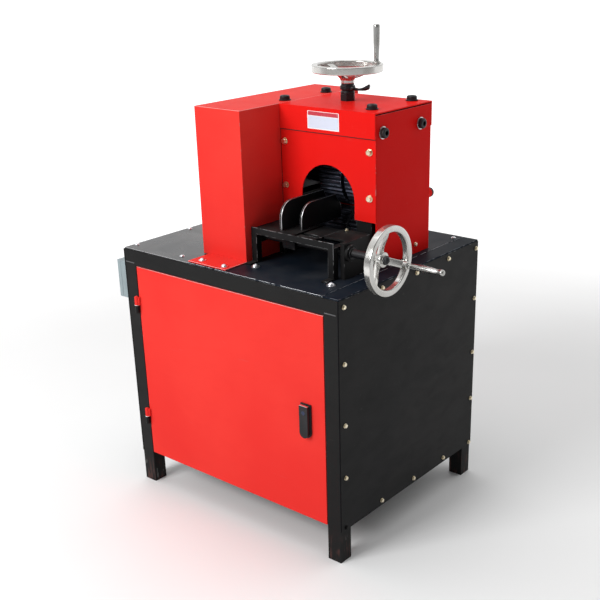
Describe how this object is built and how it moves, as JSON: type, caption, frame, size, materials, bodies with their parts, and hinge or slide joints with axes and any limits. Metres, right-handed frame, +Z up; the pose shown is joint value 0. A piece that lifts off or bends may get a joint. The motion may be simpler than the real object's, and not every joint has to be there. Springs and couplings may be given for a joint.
{
  "type": "cable stripping machine",
  "caption": "Floor-standing cable stripper: a red roller head with arch, guide fins and two chrome handwheels on a tube-framed cabinet with a door and push buttons.",
  "frame": {"origin": "on the floor under the middle of the whole machine, handwheels and buttons included", "axes": "+Z up, +X to the right as seen from the door, +Y from the door side back through the head, the way the cable travels"},
  "size_m": [0.9532, 0.6156, 1.2373],
  "materials": {
    "red_paint": "bright red gloss enamel on sheet steel",
    "black_paint": "charcoal black enamel",
    "black_steel": "blackened machined steel",
    "bare_steel": "turned and ground steel",
    "chrome": "bright chrome plate",
    "cast_iron": "grey-green enamelled cast iron",
    "rubber": "black moulded rubber",
    "grey_box": "light grey enamel",
    "black_plastic": "black moulded plastic",
    "green_plastic": "green moulded plastic",
    "red_plastic": "red moulded plastic"
  },
  "bodies": {
    "machine": {"cabinet_frame": "black_paint", "left_panel": "black_paint", "right_panel": "black_paint", "rear_panel": "black_paint", "left_top_plate": "black_paint", "base_plate": "black_paint", "control_box": "grey_box", "control_box_cover": "grey_box", "left_side_plate": "black_paint", "right_side_plate": "black_paint", "crown_plate": "black_paint", "crown_screw_1": "black_steel", "crown_screw_2": "black_steel", "crown_screw_3": "black_steel", "crown_screw_4": "black_steel", "front_cover": "red_paint", "rear_cover": "red_paint", "right_cover": "red_paint", "top_cap": "red_paint", "belt_guard": "red_paint", "side_screw_1": "black_steel", "side_screw_2": "black_steel", "left_roller_bearing": "bare_steel", "right_roller_bearing": "bare_steel", "pinion_bearing": "bare_steel", "drive_belt_1": "rubber", "drive_belt_2": "rubber", "motor_plate": "black_paint", "motor_body": "cast_iron", "spindle_nut": "black_steel", "infeed_stand": "black_paint", "infeed_table": "black_paint", "screw_bracket": "black_paint"},
    "door": {"door": "red_paint", "latch_plate": "black_plastic"},
    "latch": {"latch_spindle": "bare_steel"},
    "latch_grip": {"latch_handle": "black_plastic"},
    "start_button": {"start_button": "green_plastic"},
    "stop_button": {"stop_button": "red_plastic"},
    "press_wheel": {"top_handwheel": "chrome", "pressure_screw": "bare_steel"},
    "press_grip": {"top_grip": "chrome"},
    "clamp_nut": {"lock_nut": "black_steel"},
    "press_carriage": {"pressure_yoke": "black_steel", "left_sliding_block": "black_steel", "right_sliding_block": "black_steel"},
    "upper_roller": {"upper_roller": "black_steel"},
    "lower_roller": {"lower_roller_shaft": "black_steel", "lower_roller_clamp": "black_steel", "round_blade": "bare_steel", "roller_gear": "bare_steel"},
    "pinion": {"pinion_shaft": "bare_steel", "large_pulley": "cast_iron"},
    "motor_rotor": {"motor_shaft": "cast_iron"},
    "guide": {"guide_carriage": "black_paint", "left_guide_fin": "black_paint", "right_guide_fin": "black_paint"},
    "cross_wheel": {"side_handwheel": "chrome", "cross_screw": "bare_steel"},
    "cross_grip": {"side_grip": "chrome"}
  },
  "joints": [
    {"name": "door_swing", "type": "hinge", "parent": "machine", "child": "door", "pos_m": [-0.34965, -0.3005, 0.378], "axis": [0, 0, -1], "range_deg": [0, 115]},
    {"name": "latch_turn", "type": "hinge", "parent": "door", "child": "latch", "pos_m": [0.22855, -0.2988, 0.393], "axis": [0, 1, 0], "range_deg": [0, 90]},
    {"name": "latch_lift", "type": "hinge", "parent": "latch", "child": "latch_grip", "pos_m": [0.22855, -0.3028, 0.402], "axis": [-1, 0, 0], "range_deg": [0, 25]},
    {"name": "start_press", "type": "slide", "parent": "machine", "child": "start_button", "axis": [1, 0, 0], "range_m": [0, 0.004], "stiffness_N_per_m": 300},
    {"name": "stop_press", "type": "slide", "parent": "machine", "child": "stop_button", "axis": [1, 0, 0], "range_m": [0, 0.004], "stiffness_N_per_m": 300},
    {"name": "press_wheel_turn", "type": "hinge", "parent": "machine", "child": "press_wheel", "pos_m": [0.08935, 0.0558, 1.101], "axis": [0, 0, 1], "range_deg": [-432, 2160]},
    {"name": "press_grip_spin", "type": "hinge", "parent": "press_wheel", "child": "press_grip", "pos_m": [0.13975, 0.1062, 1.16], "axis": [0, 0, 1], "continuous": true},
    {"name": "clamp_nut_turn", "type": "hinge", "parent": "machine", "child": "clamp_nut", "pos_m": [0.08935, 0.0558, 1.0885], "axis": [0, 0, 1], "range_deg": [-60, 30]},
    {"name": "press_slide", "type": "slide", "parent": "machine", "child": "press_carriage", "axis": [0, 0, 1], "range_m": [-0.006, 0.03]},
    {"name": "upper_roller_spin", "type": "hinge", "parent": "press_carriage", "child": "upper_roller", "pos_m": [0.08935, 0.0558, 0.875], "axis": [1, 0, 0], "continuous": true},
    {"name": "lower_roller_spin", "type": "hinge", "parent": "machine", "child": "lower_roller", "pos_m": [0.08935, 0.0558, 0.745], "axis": [1, 0, 0], "continuous": true},
    {"name": "pinion_spin", "type": "hinge", "parent": "machine", "child": "pinion", "pos_m": [-0.04865, -0.1042, 0.82833], "axis": [1, 0, 0], "continuous": true},
    {"name": "motor_spin", "type": "hinge", "parent": "machine", "child": "motor_rotor", "pos_m": [-0.04865, -0.1042, 0.2456], "axis": [1, 0, 0], "continuous": true},
    {"name": "guide_slide", "type": "slide", "parent": "machine", "child": "guide", "axis": [1, 0, 0], "range_m": [-0.018, 0.06]},
    {"name": "cross_wheel_turn", "type": "hinge", "parent": "machine", "child": "cross_wheel", "pos_m": [0.32935, -0.1562, 0.752], "axis": [1, 0, 0], "range_deg": [-3600, 1080]},
    {"name": "cross_grip_spin", "type": "hinge", "parent": "cross_wheel", "child": "cross_grip", "pos_m": [0.42935, -0.09462, 0.72712], "axis": [1, 0, 0], "continuous": true}
  ],
  "couplings": [
    {"joint": "press_slide", "follows": "press_wheel_turn", "m_per_rad": 0.00079577},
    {"joint": "guide_slide", "follows": "cross_wheel_turn", "m_per_rad": -0.00095493},
    {"joint": "pinion_spin", "follows": "lower_roller_spin", "ratio": -3.2857},
    {"joint": "motor_spin", "follows": "lower_roller_spin", "ratio": -8.2143}
  ]
}
